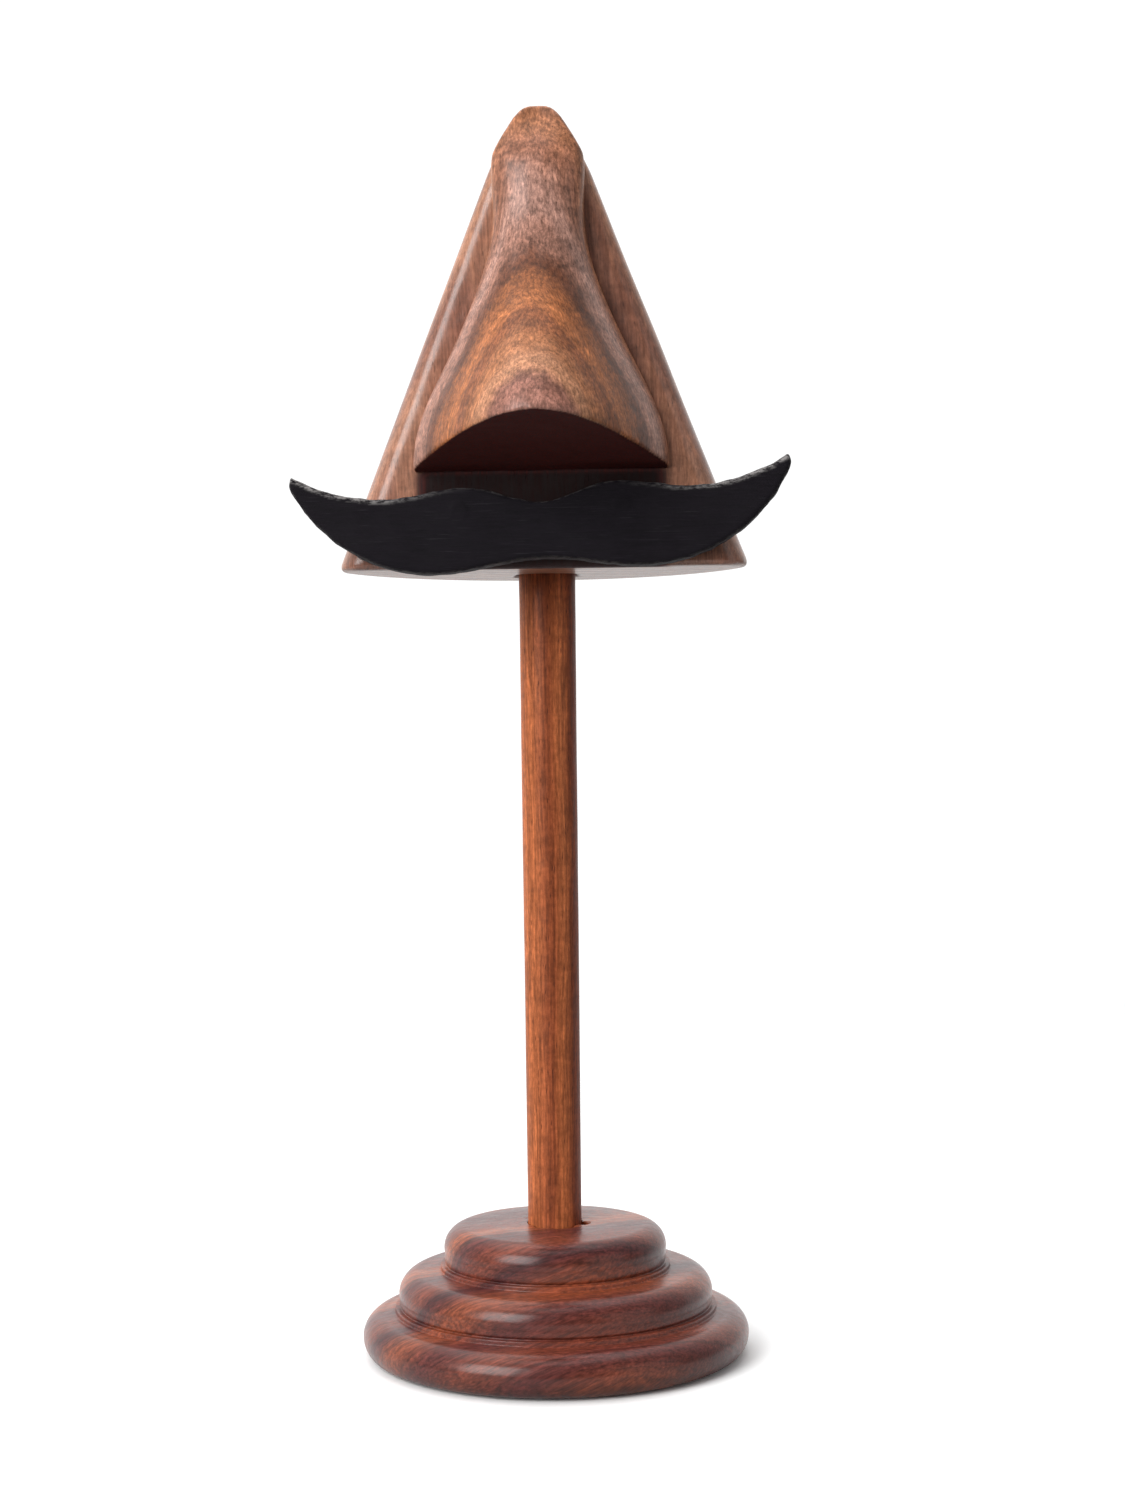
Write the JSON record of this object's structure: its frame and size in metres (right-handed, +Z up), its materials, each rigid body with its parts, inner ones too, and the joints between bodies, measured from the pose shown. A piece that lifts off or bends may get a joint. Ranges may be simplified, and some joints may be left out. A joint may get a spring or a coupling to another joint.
{
  "type": "eyeglasses display stand",
  "caption": "Turned wooden table stand whose carved nose, above a painted moustache, holds one pair of eyeglasses upright.",
  "frame": {"origin": "centre of the base's flat underside, on the axis of the post", "axes": "+Z up along the post, -Y out of the front where the nose points, +X to the viewer's right when facing the front"},
  "size_m": [0.0894, 0.0828, 0.228],
  "materials": {
    "base_wood": "glossy clear lacquer over dark red-brown rosewood",
    "post_wood": "satin clear lacquer over red-brown rosewood, grain upright",
    "block_wood": "satin clear lacquer over rosewood with paler stripes",
    "nose_wood": "satin clear lacquer over orange-brown figured rosewood",
    "black_paint": "matte black paint brushed on sanded wood, worn grey along the arrises",
    "screw_steel": "plain steel, slightly dulled",
    "painted_pin": "steel pin, its head under the matte black paint"
  },
  "bodies": {
    "stand_base": {"base": "base_wood"},
    "upright": {"post": "post_wood"},
    "head": {"face_block": "block_wood", "nose": "nose_wood", "moustache": "black_paint", "nose_screw_upper": "screw_steel", "nose_screw_lower": "screw_steel", "moustache_pin_left": "painted_pin", "moustache_pin_right": "painted_pin"}
  },
  "joints": [
    {"name": "post_draw", "type": "slide", "parent": "stand_base", "child": "upright", "axis": [0, 0, 1], "range_m": [0, 0.022]},
    {"name": "head_swivel", "type": "hinge", "parent": "upright", "child": "head", "pos_m": [0, 0, 0.145], "axis": [0, 0, 1], "continuous": true}
  ]
}
